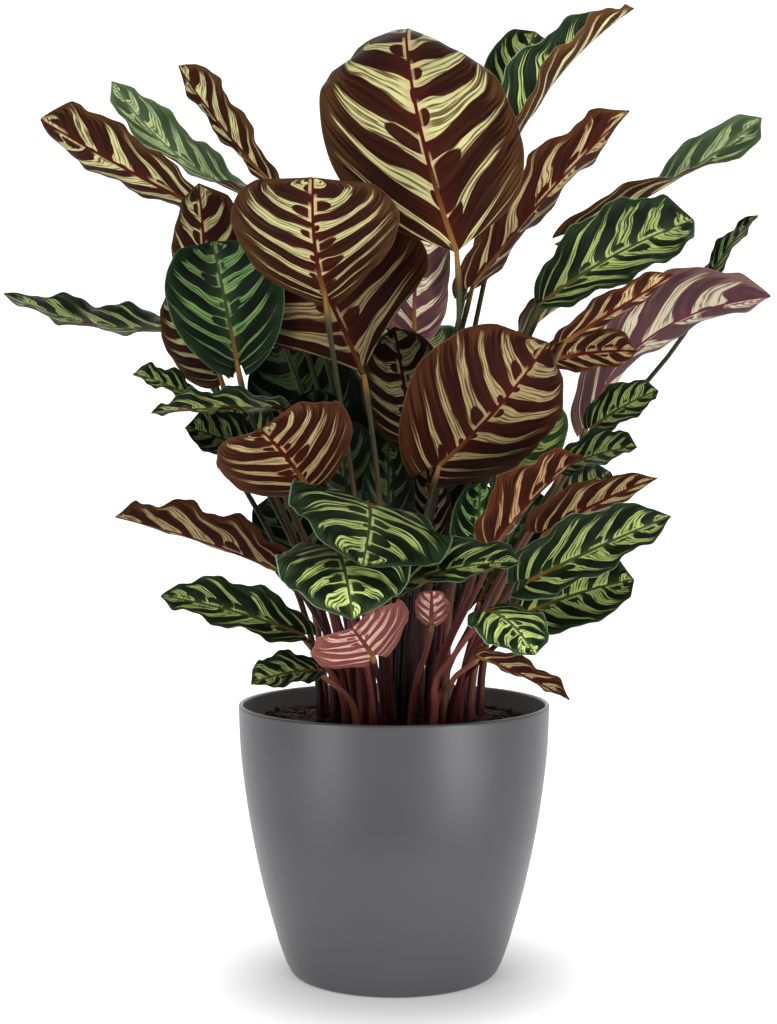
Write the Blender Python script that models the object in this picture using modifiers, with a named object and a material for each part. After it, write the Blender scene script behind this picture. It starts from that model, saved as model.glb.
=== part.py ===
"""Potted calathea: a grey plastic pot, bark-rich potting mix, and leaves that each stand in it on a stalk.

Millimetres are used for every named size and place, and turned to metres where a mesh is made.
The origin is on the pot's axis at the floor, +Z is up and -Y is the front of the plant.
"""

import math
from types import SimpleNamespace

import bmesh
import bpy
import numpy as np

MM = 0.001
NAME = "potted_calathea"

# Pot: outer radius at each height, from the lip down, with a thin wall and a rounded lip
POT_OUTSIDE = ((110.0, 188.0), (108.5, 156.0), (104.0, 119.0), (98.0, 85.0), (91.0, 54.0), (82.0, 22.0))
POT_HEEL = ((75.5, 5.0), (70.5, 0.0))
POT_WALL = 2.5
POT_FLOOR = 3.0
POT_INSIDE = (8.0, 54.0, 119.0, 185.0)
POT_FILLET = 4.0
POT_LIP = ((107.0, 189.4), (107.6, 190.0), (108.6, 189.7))
ROUND_STEPS = 44

# Potting mix: a low dome a little below the lip
SOIL_EDGE = 175.0
SOIL_CROWN = 179.0
SEAT_GAP = 0.3

# Stalks: radius where it leaves the mix and where the blade begins, and how it stands in its hole
STALK_FOOT = 2.3
STALK_NECK = 1.6
STALK_DEPTH = 22.0
HOLE_RADIUS = 3.1
HOLE_SIDES = 6
STALK_STEPS = 4

# How a stalk rises: upright for a share of its span, then into its blade, clear of the other stalks
STALK_RISE = 0.42
STALK_ENTRY = 0.3
STALK_SPACING = 10.0
STALK_EASE = 0.25
ROOT_AREA = 72.0
ROOT_SPACING = 11.5

# How far in each root lies from its blade: a share of the blade's reach, for the lowest and highest blade
LOWEST_BLADE = 220.0
HIGHEST_BLADE = 600.0
ROOT_SHARE_LOW = 0.50
ROOT_SHARE_HIGH = 0.17

# Blades: thickness, raised rib below, and the places across and along it where the mesh has points
BLADE_THICK = 0.9
RIB_HEIGHT = 1.1
ACROSS = (-1.0, -0.52, 0.0, 0.52, 1.0)
ALONG = (0.07, 0.19, 0.34, 0.51, 0.69, 0.86, 0.985)
ALONG_SHORT = (0.09, 0.28, 0.54, 0.80, 0.985)
SHORT_BLADE = 62.0


def leaf(name, base, tip, face, width, **shape):
    """One leaf: where its blade starts and ends, which way its upper side faces, and its width.

    Shares of its length: belly (where it is broadest), heart (how far the base runs back beside the
    stalk), and the curves of its midrib (arch, sweep, hook and tuck). Slant sets one half ahead of the
    other. Fold, curl and twist are angles in radians, and wave is the height of the margin's waves in mm.
    """
    row = SimpleNamespace(
        name=name, base=np.array(base, float), tip=np.array(tip, float), face=np.array(face, float),
        width=width, belly=0.45, heart=0.1, slant=0.0, arch=0.06, sweep=0.0, hook=0.0, tuck=0.0,
        fold=0.12, curl=0.35, twist=0.0, wave=2.0, waves=2.5, phase=0.0, bow=(0.0, 0.0, 0.0), lean=0.5)
    for key, value in shape.items():
        assert hasattr(row, key), key
        setattr(row, key, value)
    return row


LEAVES = (
    # Crown and upper middle
    leaf("leaf_crown", (40, -108, 496), (5, -72, 681), (0.0, 0.95, 0.25), 139, belly=0.46, heart=-0.05,
         slant=0.22, arch=-0.05, sweep=0.04, hook=0.22, tuck=0.11, curl=0.5, wave=4.5, bow=(4, 8, 0)),
    leaf("leaf_upper_left", (-45, -104, 469), (-50, -165, 536), (0.0, 0.66, 0.75), 116, belly=0.55,
         heart=0.16, arch=-0.06, sweep=0.03, curl=0.5),
    leaf("leaf_behind_left", (-20, -78, 418), (-76, -46, 530), (0.1, 0.9, 0.3), 148, belly=0.58,
         heart=-0.35, slant=0.15, curl=0.4),
    leaf("leaf_mid_silver", (14, -6, 452), (22, 30, 548), (-0.3, 0.95, 0.1), 62, belly=0.5, curl=0.3),
    leaf("leaf_centre_right", (30, -78, 359), (101, -95, 440), (-0.35, 0.85, 0.35), 118, belly=0.5,
         heart=0.2, curl=0.35, arch=-0.06),
    leaf("leaf_centre_back", (12, -38, 380), (0, -26, 455), (0.0, 0.95, 0.3), 64, curl=0.3),
    # Upper right
    leaf("leaf_right_top", (88, 30, 594), (178, 60, 695), (-0.65, -0.35, 0.65), 84, belly=0.36, curl=1.0,
         waves=3.0, wave=3.0, bow=(6, 34, 0)),
    leaf("leaf_back_high", (80, 86, 615), (107, 90, 685), (0.05, -0.95, 0.3), 54, belly=0.5, heart=0.14),
    leaf("leaf_right_wavy", (56, 10, 486), (174, 50, 619), (-0.6, 0.6, 0.5), 60, arch=0.03, curl=0.6,
         wave=4.0, waves=3.5),
    leaf("leaf_right_long", (130, 30, 526), (277, 80, 619), (0.0, 0.61, 0.79), 44, belly=0.5, arch=-0.04,
         curl=0.4, twist=3.0, wave=2.5, waves=3.5),
    leaf("leaf_right_green", (103, -34, 471), (206, -40, 526), (-0.2, -0.75, 0.6), 74, belly=0.56, wave=3.0,
         waves=3.5, heart=0.06),
    leaf("leaf_right_outer", (236, 78, 494), (277, 96, 548), (-0.5, -0.4, 0.7), 24, wave=2.0,
         bow=(-6, 40, 0)),
    leaf("leaf_right_purple", (137, 2, 388), (274, 24, 480), (-0.4, 0.62, 0.62), 78, belly=0.5, arch=0.2,
         curl=0.6, wave=3.5, waves=3.0, bow=(0, 16, 0)),
    leaf("leaf_right_narrow", (112, -84, 440), (184, -86, 485), (-0.3, 0.8, 0.5), 26, arch=0.0, curl=0.9,
         wave=2.5, bow=(-6, 25, 0)),
    leaf("leaf_right_oval", (106, -56, 430), (162, -72, 435), (0.0, 0.8, 0.6), 37, curl=0.3,
         bow=(-4, 16, 0)),
    # Right, middle and low
    leaf("leaf_right_lime", (76, -16, 344), (114, -18, 405), (0.3, -0.85, 0.4), 46),
    leaf("leaf_right_shade_a", (137, -26, 384), (182, -36, 410), (0.0, -0.7, 0.7), 38),
    leaf("leaf_right_shade_b", (116, -43, 356), (164, -61, 371), (0.1, -0.6, 0.8), 44),
    leaf("leaf_right_inner", (116, -4, 318), (154, 0, 354), (0.2, -0.8, 0.5), 44),
    leaf("leaf_under_centre", (55, -54, 290), (58, -56, 348), (0.1, -0.98, 0.1), 42),
    leaf("leaf_maroon_upright", (27, -34, 308), (23, -28, 360), (0.0, 0.98, 0.1), 32, curl=0.6),
    leaf("leaf_orange", (66, -95, 306), (126, -78, 366), (-0.5, 0.6, 0.5), 56, belly=0.4, curl=0.8,
         twist=0.6, wave=3.0),
    leaf("leaf_brown_tail", (98, -89, 313), (172, -102, 351), (-0.2, 0.85, 0.5), 38, belly=0.25,
         curl=0.6, wave=2.0),
    leaf("leaf_right_lobed", (88, -108, 284), (177, -128, 327), (0.1, -0.7, 0.7), 54, belly=0.38,
         arch=0.02, wave=3.5, waves=3.0, heart=0.16),
    leaf("leaf_right_low", (84, -92, 260), (158, -96, 284), (0.1, -0.75, 0.65), 64),
    leaf("leaf_drape", (58, -136, 267), (86, -172, 242), (0.2, -0.6, 0.75), 50, curl=-0.3, arch=0.12),
    leaf("leaf_brown_low", (55, -114, 235), (111, -142, 211), (0.3, 0.55, 0.7), 26, curl=0.5, arch=0.03),
    # Front, low
    leaf("leaf_front_flat", (-2, -114, 279), (80, -148, 298), (0.1, -0.55, 0.83), 50, wave=2.5),
    leaf("leaf_front_upper", (-18, -92, 334), (-20, -184, 297), (0.34, -0.38, 0.86), 108, belly=0.48,
         heart=0.16, arch=0.1, curl=-0.2, wave=3.5),
    leaf("leaf_front_lower", (-38, -112, 305), (-25, -196, 266), (0.05, -0.5, 0.88), 84, heart=0.16,
         arch=0.1, curl=-0.15, wave=3.0),
    leaf("leaf_pink", (-14, -122, 237), (-27, -152, 258), (-0.36, 0.63, 0.68), 72, belly=0.4, heart=0.24,
         curl=0.35),
    leaf("leaf_pink_small", (24, -104, 256), (24, -110, 278), (0.1, 0.98, 0.1), 24, curl=0.4),
    # Left, low and middle
    leaf("leaf_left_gutter", (-69, -62, 284), (-191, -52, 324), (0.2, 0.5, 0.85), 54, arch=0.03, curl=0.9,
         wave=4.0, waves=3.5),
    leaf("leaf_left_low", (-61, -82, 246), (-155, -92, 273), (0.05, -0.6, 0.8), 48, arch=0.04, wave=3.0,
         waves=3.0),
    leaf("leaf_left_lowest", (-50, -95, 224), (-93, -117, 218), (0.0, -0.6, 0.8), 34),
    leaf("leaf_left_fan", (-57, -100, 346), (-84, -148, 382), (-0.24, 0.65, 0.71), 98, belly=0.42,
         heart=0.14, curl=0.4),
    leaf("leaf_left_mid_a", (-92, -62, 364), (-140, -72, 384), (-0.2, -0.7, 0.7), 44, curl=0.3),
    leaf("leaf_left_mid_b", (-92, -16, 371), (-121, -20, 401), (-0.2, -0.8, 0.5), 44),
    leaf("leaf_left_long", (-77, -74, 396), (-161, -88, 393), (0.0, -0.35, 0.95), 46, arch=0.02, wave=3.0,
         waves=3.0),
    leaf("leaf_left_outer", (-137, -24, 402), (-180, -36, 421), (0.0, -0.5, 0.85), 34, wave=2.5),
    # Left, upper
    leaf("leaf_left_green", (-107, -50, 430), (-126, -24, 514), (0.1, -0.95, 0.3), 84, belly=0.5,
         heart=0.14),
    leaf("leaf_left_under", (-122, -13, 422), (-159, -4, 482), (0.1, 0.95, 0.3), 60, curl=0.3),
    leaf("leaf_left_dark", (-135, 2, 456), (-139, 12, 560), (0.3, 0.9, 0.2), 64, belly=0.5, curl=0.4),
    leaf("leaf_left_spear", (-119, 24, 533), (-260, 50, 612), (0.2, 0.8, 0.55), 52, belly=0.72, heart=0.0,
         arch=-0.02, curl=0.7, wave=3.5, waves=3.5),
    leaf("leaf_left_silver", (-112, 70, 560), (-215, 100, 651), (0.5, -0.5, 0.6), 46, arch=-0.09, curl=0.5,
         twist=-0.8, wave=3.5, waves=3.0),
    leaf("leaf_left_top", (-88, 40, 562), (-159, 60, 653), (0.5, 0.6, 0.5), 40, belly=0.64, arch=-0.03,
         curl=0.6, wave=3.0, waves=3.0),
    leaf("leaf_left_level", (-161, 30, 456), (-288, 50, 485), (0.0, -0.38, 0.92), 56, belly=0.38, arch=-0.07,
         wave=3.5, waves=3.0),
    # Inside, upright and shaded
    leaf("leaf_inner_left", (-48, -6, 330), (-57, 10, 414), (-0.1, -0.95, 0.25), 58),
    leaf("leaf_inner_front", (-30, -36, 316), (-38, -24, 392), (0.05, -0.97, 0.2), 54),
    leaf("leaf_inner_centre", (-4, -46, 306), (-4, -38, 376), (0.0, -0.97, 0.2), 38),
    # Back, most of it guessed
    leaf("leaf_back_middle", (4, 116, 392), (14, 206, 472), (0.0, -0.65, 0.75), 108, heart=0.16),
    leaf("leaf_back_right", (82, 96, 410), (146, 158, 490), (0.45, 0.5, 0.7), 90, arch=0.12, wave=3.0,
         heart=0.14),
    leaf("leaf_back_left", (-78, 98, 388), (-148, 166, 446), (-0.4, 0.5, 0.75), 92, arch=0.12, wave=3.0,
         heart=0.14),
    leaf("leaf_back_low", (12, 94, 228), (32, 146, 316), (0.0, -0.85, 0.5), 84, belly=0.5, wave=3.0),
    leaf("leaf_back_low_left", (-48, 88, 256), (-98, 128, 334), (0.1, -0.85, 0.5), 66, belly=0.5),
    leaf("leaf_back_low_right", (64, 66, 256), (112, 96, 338), (-0.1, -0.85, 0.5), 76, belly=0.5),
    leaf("leaf_back_fill_left", (-44, 60, 352), (-86, 72, 450), (0.0, -0.95, 0.3), 88, belly=0.5,
         heart=0.14),
    leaf("leaf_back_fill_right", (24, 66, 322), (30, 84, 436), (0.0, -0.95, 0.3), 88, belly=0.5,
         heart=0.14),
)


def unit(vector):
    return vector / np.linalg.norm(vector, axis=-1, keepdims=True)


def midrib(row, u):
    """Points of the midrib at u, with its direction, its upper side and its right side there."""
    length = np.linalg.norm(row.tip - row.base)
    along = unit(row.tip - row.base)
    up = unit(row.face - np.dot(row.face, along) * along)
    side = np.cross(along, up)

    def place(u):
        rise = row.arch * 4.0 * u * (1.0 - u) + row.hook * np.clip((u - 0.55) / 0.45, 0.0, None) ** 2
        drift = row.sweep * 4.0 * u * (1.0 - u)
        ahead = u - row.tuck * np.clip((u - 0.75) / 0.25, 0.0, None) ** 2
        return row.base + length * (ahead[:, None] * along + rise[:, None] * up + drift[:, None] * side)

    step = 1e-4
    run = unit(place(u + step) - place(u - step))
    top = unit(up - (run @ up)[:, None] * run)
    right = np.cross(run, top)
    turn = (row.twist * (u - 0.2))[:, None]
    over = top * np.cos(turn) + right * np.sin(turn)
    return place(u), run, over, right * np.cos(turn) - top * np.sin(turn)


def half_width(row, u):
    """Half the blade's width at u: broadest at the belly, round at the base, a short point at the tip."""
    rise = 1.1 * row.belly
    fall = 1.1 - rise
    return 0.5 * row.width * (u / row.belly) ** rise * ((1.0 - u) / (1.0 - row.belly)) ** fall


def blade(row, u, v):
    """Middle surface of the blade at each u from base to tip and each v from one margin to the other."""
    length = np.linalg.norm(row.tip - row.base)
    centre, run, top, right = midrib(row, u)
    half = half_width(row, u)[:, None]
    reach = np.abs(v)[None, :]
    bend = row.fold + row.curl * reach
    curl = row.curl if abs(row.curl) > 1e-6 else 1e-6
    out = half * (np.sin(bend) - math.sin(row.fold)) / curl * np.sign(v)[None, :]
    lift = half * (math.cos(row.fold) - np.cos(bend)) / curl
    beat = 2.0 * math.pi * row.waves * u[:, None] + row.phase + 1.3 * (v > 0)[None, :]
    lift = lift + row.wave * np.sin(beat) * reach ** 2 * np.clip(half / (0.3 * row.width), 0.0, 1.0)
    ahead = row.slant * half * v[None, :] - row.heart * length * reach ** 2 * (1.0 - u[:, None]) ** 3
    return (centre[:, None] + right[:, None] * out[..., None] + top[:, None] * lift[..., None]
            + run[:, None] * ahead[..., None])


def blade_normal(row, u, v):
    step = 1e-3
    along = blade(row, u + step, v) - blade(row, u - step, v)
    left = blade(row, u, v - step)
    across = blade(row, u, v + step) - left
    return unit(np.cross(across, along))


def roots():
    """Where each stalk leaves the mix: on its blade's side, low leaves outermost, pushed evenly apart."""
    bases = np.array([row.base for row in LEAVES])
    share = np.interp(bases[:, 2], (LOWEST_BLADE, HIGHEST_BLADE), (ROOT_SHARE_LOW, ROOT_SHARE_HIGH))
    spots = bases[:, :2] * share[:, None]
    for _ in range(200):
        apart = spots[:, None] - spots[None, :]
        gap = np.linalg.norm(apart, axis=2) + np.eye(len(spots)) * 1e3
        push = np.clip(ROOT_SPACING - gap, 0.0, None) / gap * 0.3
        spots = spots + (apart * push[..., None]).sum(axis=1)
        reach = np.linalg.norm(spots, axis=1, keepdims=True)
        spots = spots * np.minimum(1.0, ROOT_AREA / reach)
    return spots


def soil_height(spots):
    reach = np.linalg.norm(spots, axis=-1) / inside_radius(SOIL_EDGE)
    return SOIL_CROWN - (SOIL_CROWN - SOIL_EDGE) * reach ** 2


def stalks(steps=28, rounds=60):
    """A curve for each stalk, from the mix to the blade, leaning clear of the other stalks."""
    spots = roots()
    t = np.linspace(0.0, 1.0, steps + 1)[:, None]
    paths = []
    for row, spot in zip(LEAVES, spots):
        foot = np.array([spot[0], spot[1], soil_height(spot)])
        _, run, _, _ = midrib(row, np.array([0.01]))
        end = unit(run[0] * row.lean + np.array([0.0, 0.0, 1.0]) * (1.0 - row.lean)
                   + 0.4 * unit(row.base - foot))
        span = np.linalg.norm(row.base - foot)
        first = foot + np.array([0.0, 0.0, STALK_RISE * span])
        last = row.base - end * STALK_ENTRY * span
        path = ((1 - t) ** 3 * foot + 3 * (1 - t) ** 2 * t * first + 3 * (1 - t) * t ** 2 * last
                + t ** 3 * row.base)
        paths.append(path + np.sin(math.pi * t) ** 2 * np.array(row.bow))
    paths = np.array(paths)
    owner = np.repeat(np.arange(len(paths)), steps + 1)
    ease = np.tile(np.sin(math.pi * t[:, 0]) ** 0.5, len(paths))
    for _ in range(rounds):
        points = paths.reshape(-1, 3)
        size = (points ** 2).sum(axis=1)
        spread = size[:, None] + size[None, :] - 2.0 * points @ points.T
        one, other = np.nonzero(spread < STALK_SPACING ** 2)
        pairs = owner[one] != owner[other]
        one, other = one[pairs], other[pairs]
        apart = points[one] - points[other]
        gap = np.linalg.norm(apart, axis=1, keepdims=True) + 1e-3
        move = np.zeros_like(points)
        np.add.at(move, one, apart / gap * (STALK_SPACING - gap) * STALK_EASE)
        move = (move * ease[:, None]).reshape(paths.shape)
        move[:, 1:-1] = 0.25 * move[:, :-2] + 0.5 * move[:, 1:-1] + 0.25 * move[:, 2:]
        paths = paths + move
    return paths


def path_at(path, t):
    """Points of a stalk's curve at t, with their directions."""
    place = np.clip(t, 0.0, 1.0) * (len(path) - 1)
    low = np.minimum(place.astype(int), len(path) - 2)
    part = (place - low)[:, None]
    points = path[low] * (1 - part) + path[low + 1] * part
    slope = np.gradient(path, axis=0)
    return points, unit(slope[low] * (1 - part) + slope[low + 1] * part)


def leaf_rings(row, path, across, along, stalk_steps):
    """Rings of points round the stalk and then the blade, the upper side first and the underside back."""
    across = np.array(across)
    count = 2 * len(across)
    angle = np.radians(180.0 - 180.0 / count - 360.0 / count * np.arange(count))
    u = np.concatenate(([0.001], along))
    centre, run, top, right = midrib(row, u)

    t = np.linspace(0.0, 1.0, stalk_steps + 1)[:-1]
    points, slopes = path_at(path, t)
    up = top[0]
    tops = []
    for slope in slopes[::-1]:
        up = unit(up - np.dot(up, slope) * slope)
        tops.append(up)
    tops = np.array(tops[::-1])
    foot = points[0] - np.array([0.0, 0.0, STALK_DEPTH])
    points = np.vstack((foot, points, centre[:1]))
    slopes = np.vstack(([0.0, 0.0, 1.0], [0.0, 0.0, 1.0], slopes[1:], run[:1]))
    tops = np.vstack((tops[:1], tops, top[:1]))
    tops = unit(tops - (tops * slopes).sum(axis=1, keepdims=True) * slopes)
    sides = np.cross(slopes, tops)
    radius = np.concatenate(([STALK_FOOT], STALK_FOOT + (STALK_NECK - STALK_FOOT) * t, [STALK_NECK]))
    rings = points[:, None] + radius[:, None, None] * (
        np.cos(angle)[None, :, None] * sides[:, None] + np.sin(angle)[None, :, None] * tops[:, None])

    middle = blade(row, u[1:], across)
    normal = blade_normal(row, u[1:], across)
    thick = 0.5 * BLADE_THICK
    upper = middle + thick * normal
    rib = RIB_HEIGHT * (1.0 - 0.8 * u[1:, None]) * (np.abs(across) < 0.01)[None, :]
    lower = middle - (thick + rib)[..., None] * normal
    flat = np.concatenate((upper, lower[:, ::-1]), axis=1)
    return np.concatenate((rings, flat), axis=0)


def inside_radius(height):
    """Radius of the pot's inner wall at a height: straight between the heights in POT_INSIDE."""
    outside = (POT_OUTSIDE + POT_HEEL)[::-1]
    walls = np.interp(POT_INSIDE, [z for _, z in outside], [r for r, _ in outside]) - POT_WALL
    return float(np.interp(height, POT_INSIDE, walls))


def clear_scene():
    for item in list(bpy.data.objects):
        bpy.data.objects.remove(item, do_unlink=True)


def collection(name):
    group = bpy.data.collections.new(name)
    bpy.context.scene.collection.children.link(group)
    return group


def finish(name, colour, roughness):
    material = bpy.data.materials.new(name)
    material.use_nodes = True
    shader = material.node_tree.nodes["Principled BSDF"]
    shader.inputs["Base Color"].default_value = (*colour, 1.0)
    shader.inputs["Roughness"].default_value = roughness
    material.diffuse_color = (*colour, 1.0)
    return material


def add_object(name, mesh, group, *materials):
    item = bpy.data.objects.new(name, mesh)
    for material in materials:
        item.data.materials.append(material)
    group.objects.link(item)
    return item


def turned(name, profile, group, material):
    """A closed round body from a profile that runs down its outer side to the axis and back up."""
    mesh = bpy.data.meshes.new(name)
    shape = bmesh.new()
    corners = [shape.verts.new((radius * MM, 0.0, height * MM)) for radius, height in profile]
    for first, second in zip(corners, corners[1:]):
        shape.edges.new((first, second))
    shape.to_mesh(mesh)
    shape.free()
    item = add_object(name, mesh, group, material)
    screw = item.modifiers.new("turn", "SCREW")
    screw.axis = "Z"
    screw.steps = ROUND_STEPS
    screw.render_steps = ROUND_STEPS
    screw.use_merge_vertices = True
    screw.merge_threshold = 0.0001
    return item


def make_pot(group):
    outside = POT_LIP[1:] + POT_OUTSIDE + POT_HEEL + ((0.0, 0.0),)
    wall = tuple((inside_radius(z), z) for z in POT_INSIDE)
    inside = ((0.0, POT_FLOOR), (wall[0][0] - POT_FILLET, POT_FLOOR)) + wall
    profile = outside + inside + POT_LIP[:2]
    return turned("pot", profile, group, finish("pot_plastic", (0.125, 0.125, 0.135), 0.45))


def make_soil(group, tools, spots):
    gap = SEAT_GAP / math.cos(math.pi / ROUND_STEPS)
    low = POT_FLOOR + SEAT_GAP
    proud = 10.0
    heights = (SOIL_EDGE,) + POT_INSIDE[2:0:-1] + (POT_INSIDE[0] + SEAT_GAP,)
    wall = tuple((inside_radius(z) - gap, z) for z in heights)
    middle = 0.55 * inside_radius(SOIL_EDGE)
    dome = ((0.0, SOIL_CROWN), (middle, float(soil_height(np.array([middle, 0.0])))))
    foot = ((wall[-1][0] - POT_FILLET, low), (0.0, low))
    soil = turned("potting_mix", dome + wall + foot, group, finish("potting_mix", (0.03, 0.017, 0.01), 0.95))
    holes = bmesh.new()
    for spot in spots:
        top = float(soil_height(spot))
        deep = STALK_DEPTH + 2.0 * SEAT_GAP
        made = bmesh.ops.create_cone(holes, cap_ends=True, segments=HOLE_SIDES, radius1=HOLE_RADIUS * MM,
                                     radius2=HOLE_RADIUS * MM, depth=(deep + proud) * MM)
        place = (spot[0] * MM, spot[1] * MM, (top + 0.5 * (proud - deep)) * MM)
        bmesh.ops.translate(holes, verts=made["verts"], vec=place)
    mesh = bpy.data.meshes.new("stalk_holes")
    holes.to_mesh(mesh)
    holes.free()
    cutter = add_object("stalk_holes", mesh, tools)
    cutter.hide_render = True
    cutter.display_type = "WIRE"
    cut = soil.modifiers.new("stalk_holes", "BOOLEAN")
    cut.operation = "DIFFERENCE"
    cut.solver = "EXACT"
    cut.object = cutter
    return soil


def make_leaf(row, path, group, materials):
    """One closed body: a sheet of points rolled round the stalk and blade, its seam and ends closed."""
    short = np.linalg.norm(row.tip - row.base) < SHORT_BLADE
    rings = leaf_rings(row, path, ACROSS, ALONG_SHORT if short else ALONG, STALK_STEPS)
    last, around = rings.shape[0] - 1, rings.shape[1]
    shape = bmesh.new()
    bmesh.ops.create_grid(shape, x_segments=around, y_segments=last, size=1.0)
    for corner in shape.verts:
        across = round((corner.co.x + 1.0) / 2.0 * around) % around
        along = round((corner.co.y + 1.0) / 2.0 * last)
        corner.co = rings[along, across] * MM
    stalk_end = STALK_STEPS + 1
    for index, face in enumerate(shape.faces):
        across, along = index % around, index // around
        face.material_index = 2 if along < stalk_end else (0 if across < around // 2 else 1)
    under = [face for index, face in enumerate(shape.faces) if index % around >= around // 2]
    over = [face for index, face in enumerate(shape.faces) if index % around < around // 2]
    bmesh.ops.triangulate(shape, faces=over, quad_method="FIXED")
    bmesh.ops.triangulate(shape, faces=under, quad_method="ALTERNATE")
    bmesh.ops.remove_doubles(shape, verts=shape.verts, dist=1e-6)
    bmesh.ops.holes_fill(shape, edges=shape.edges, sides=around)
    bmesh.ops.recalc_face_normals(shape, faces=shape.faces)
    mesh = bpy.data.meshes.new(row.name)
    shape.to_mesh(mesh)
    shape.free()
    mesh.shade_smooth()
    return add_object(row.name, mesh, group, *materials)


def main():
    clear_scene()
    group = collection(NAME)
    tools = collection(NAME + "_cutters")
    spots = roots()
    make_pot(group)
    make_soil(group, tools, spots)
    skins = (finish("leaf_upper", (0.06, 0.16, 0.04), 0.4),
             finish("leaf_underside", (0.09, 0.015, 0.02), 0.5),
             finish("leaf_stalk", (0.14, 0.03, 0.035), 0.5))
    for row, path in zip(LEAVES, stalks()):
        make_leaf(row, path, group, skins)


main()
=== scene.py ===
import math
import random
from types import SimpleNamespace

import bmesh
import bpy
import numpy as np
from mathutils import Matrix, Vector, noise


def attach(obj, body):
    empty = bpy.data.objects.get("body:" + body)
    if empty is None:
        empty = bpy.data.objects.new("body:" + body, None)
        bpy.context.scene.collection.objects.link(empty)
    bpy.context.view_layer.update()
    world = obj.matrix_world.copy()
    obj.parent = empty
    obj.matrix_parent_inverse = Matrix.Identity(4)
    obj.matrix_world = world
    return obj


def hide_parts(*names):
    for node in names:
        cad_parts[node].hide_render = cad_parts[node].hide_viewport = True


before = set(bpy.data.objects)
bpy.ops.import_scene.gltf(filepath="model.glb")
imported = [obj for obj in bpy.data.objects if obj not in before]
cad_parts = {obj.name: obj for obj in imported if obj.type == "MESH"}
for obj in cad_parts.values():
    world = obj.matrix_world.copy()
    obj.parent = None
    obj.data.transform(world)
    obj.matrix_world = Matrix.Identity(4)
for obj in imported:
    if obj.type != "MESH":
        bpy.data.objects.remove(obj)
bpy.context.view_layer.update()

MM = 0.001

# Pot: radius at each height down the outside, with a thin wall, a rounded lip and a rounded foot
POT_OUTSIDE = ((110.0, 188.0), (108.5, 156.0), (104.0, 119.0), (98.0, 85.0), (91.0, 54.0), (82.0, 22.0))
POT_HEEL = ((75.5, 5.0), (70.5, 0.0))
POT_WALL = 2.5
POT_FLOOR = 3.0
POT_INSIDE = (8.0, 54.0, 119.0, 185.0)
POT_LIP = ((106.9, 188.4), (107.05, 189.2), (107.6, 189.8), (108.4, 190.0), (109.3, 189.8), (109.85, 189.2))
POT_UNDER_LIP = (109.97, 187.4)
POT_FOOT = ((79.4, 14.5), (77.2, 8.4), (75.5, 5.0), (73.9, 2.0), (72.4, 0.5), (70.5, 0.0), (0.0, 0.0))
POT_STEPS = 160

# Potting mix: a low dome a little below the lip, with crumbs and bark chips lying on it
SOIL_EDGE = 175.0
SOIL_CROWN = 179.0
SOIL_RINGS = 44
SOIL_STEPS = 150
CHIPS = 620
CHIP_SIZES = (1.0, 1.4, 1.9, 2.6, 3.6)
CHIP_SHAPE = ((0.8, 1.6), (0.6, 1.0), (0.25, 0.5))

# Stalks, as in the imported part
STALK_FOOT = 2.3
STALK_NECK = 1.6
STALK_DEPTH = 22.0
STALK_RISE = 0.42
STALK_ENTRY = 0.3
STALK_SPACING = 10.0
STALK_EASE = 0.25
ROOT_AREA = 72.0
ROOT_SPACING = 11.5
LOWEST_BLADE = 220.0
HIGHEST_BLADE = 600.0
ROOT_SHARE_LOW = 0.50
ROOT_SHARE_HIGH = 0.17

# Blades: thickness, raised rib below, where the tip closes, and the fine mesh across and along them
BLADE_THICK = 0.8
RIB_HEIGHT = 1.1
RIB_WIDTH = 1.5
TIP = 0.985
ACROSS_STEPS = 28
ALONG_STEPS = 60
STALK_STEPS = 16

# Studio in metres: white paper, its glow by the pot, dimmed there as a painted soft shadow, and further out,
# and the wedges of light left and right
SURROUND = 0.24
PAPER_SIZE = 5.0
PAPER_HEIGHT = 8.0
FLOOR_GLOW = (0.3, 1.0)
GLOW_REACH = (0.05, 0.2)
WEDGES = (3.2, 5.8)

# Veins: how far a side vein climbs by the margin, and how deep the blade quilts between veins
VEIN_CLIMB = 0.45
QUILT = 0.45


def leaf(name, base, tip, face, width, **shape):
    """One leaf: where its blade starts and ends, which way its upper side faces, and its width; its tone
    scales its skin's colour, as painted light and shade as well as its own colour.
    """
    row = SimpleNamespace(
        name=name, base=np.array(base, float), tip=np.array(tip, float), face=np.array(face, float),
        width=width, belly=0.45, heart=0.1, slant=0.0, arch=0.06, sweep=0.0, hook=0.0, tuck=0.0,
        fold=0.12, curl=0.35, twist=0.0, wave=2.0, waves=2.5, phase=0.0, bow=(0.0, 0.0, 0.0), lean=0.5,
        upper="deep", under="maroon", veins=5.0, tone=1.0)
    for key, value in shape.items():
        assert hasattr(row, key), key
        setattr(row, key, value)
    return row


# Each leaf's tone, from 0.3 to 2.9, multiplies its skin's colour. It holds painted light and shade as well as
# the leaf's own colour: shaded inner and back leaves are painted dark, and some leaves in shade are painted
# brighter.
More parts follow.
